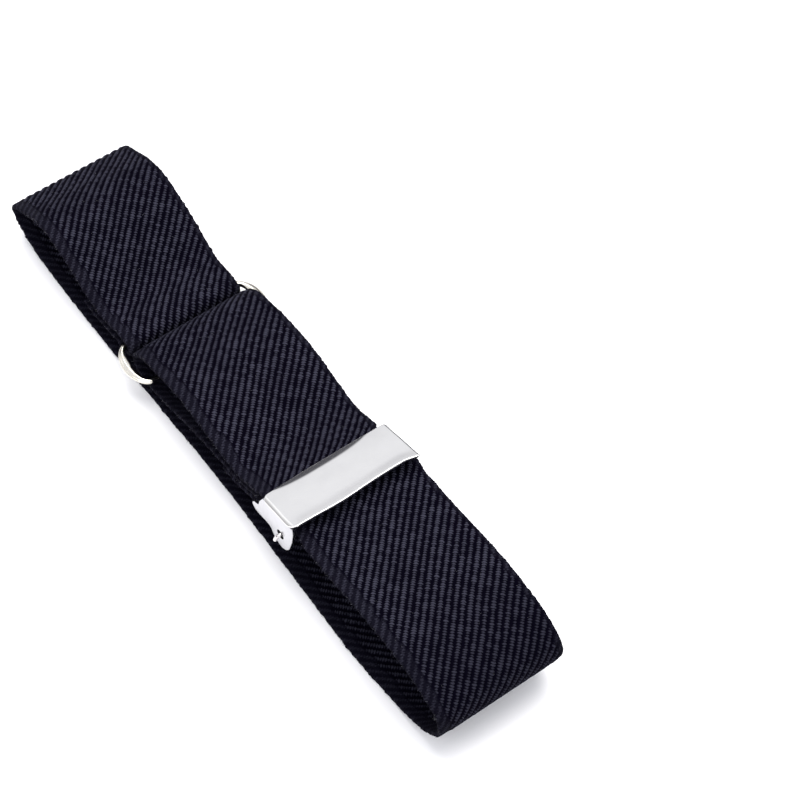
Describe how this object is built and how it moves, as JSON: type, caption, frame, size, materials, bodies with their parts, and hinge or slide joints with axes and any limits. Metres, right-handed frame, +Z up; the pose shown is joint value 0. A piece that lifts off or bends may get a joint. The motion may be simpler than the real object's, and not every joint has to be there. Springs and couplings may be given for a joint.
{
  "type": "sleeve garter",
  "caption": "Elastic band folded into a short and a long loop, joined by an oval metal ring and a metal clamp adjuster, worn round the upper arm to hold a shirt sleeve.",
  "frame": {"origin": "on the surface that the folded holder lies on, under the middle of its length and width", "axes": "+X along the folded band from the short loop's fold to the long loop's fold, +Y across the band away from the camera side, +Z up out of the surface"},
  "size_m": [0.1364, 0.03, 0.0199],
  "materials": {
    "elastic_webbing": "blue-black woven elastic with slanting ribs and plain selvedges",
    "plated_casting": "polished nickel-plated zinc casting",
    "plated_sheet": "polished nickel-plated pressed steel",
    "steel_lever": "plated pressed steel, satin",
    "steel_wire": "bright drawn wire"
  },
  "bodies": {
    "holder": {"elastic_band": "elastic_webbing", "loop_ring": "plated_casting", "adjuster_cover": "plated_sheet", "adjuster_frame": "plated_sheet", "hinge_wire": "steel_wire"},
    "lever": {"clamp_lever": "steel_lever"}
  },
  "joints": [
    {"name": "clamp_lever_hinge", "type": "hinge", "parent": "holder", "child": "lever", "pos_m": [0.02354, -0.0003, 0.01299], "axis": [0, 1, 0], "range_deg": [0, 60]}
  ]
}
